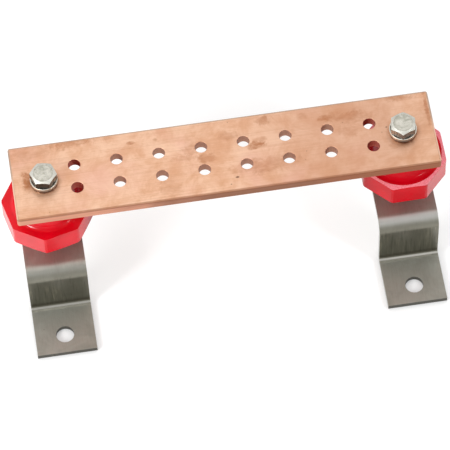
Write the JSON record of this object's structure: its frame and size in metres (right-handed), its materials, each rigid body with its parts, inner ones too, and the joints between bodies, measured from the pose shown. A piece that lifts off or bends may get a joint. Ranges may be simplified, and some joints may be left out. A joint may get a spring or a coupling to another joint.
{
  "type": "rack grounding busbar",
  "caption": "Drilled copper ground bar held off its mounting surface by two red standoff insulators on folded steel Z brackets.",
  "frame": {"origin": "midway between the two foot holes, on the mounting surface under the feet", "axes": "+X along the bar, +Y from the feet towards the bar, +Z out from the mounting surface through the feet"},
  "size_m": [0.2683, 0.0919, 0.1065],
  "materials": {
    "copper": "drawn copper with fine lengthwise lines and light tarnish",
    "red_plastic": "glossy glass-filled polyester moulding",
    "stainless": "mill-finish stainless strip with fine scratches",
    "bolt_steel": "zinc-plated steel, slightly rough",
    "washer_steel": "bright zinc-plated spring steel",
    "brass": "turned brass"
  },
  "bodies": {
    "root": {"ground_bar": "copper", "bar_bolt_left": "bolt_steel", "bar_bolt_right": "bolt_steel", "bar_lock_washer_left": "washer_steel", "bar_lock_washer_right": "washer_steel", "insulator_left": "red_plastic", "insulator_right": "red_plastic", "top_insert_left": "brass", "top_insert_right": "brass", "bottom_insert_left": "brass", "bottom_insert_right": "brass", "bracket_left": "stainless", "bracket_right": "stainless", "bracket_lock_washer_left": "washer_steel", "bracket_lock_washer_right": "washer_steel", "bracket_bolt_left": "bolt_steel", "bracket_bolt_right": "bolt_steel"}
  },
  "joints": []
}
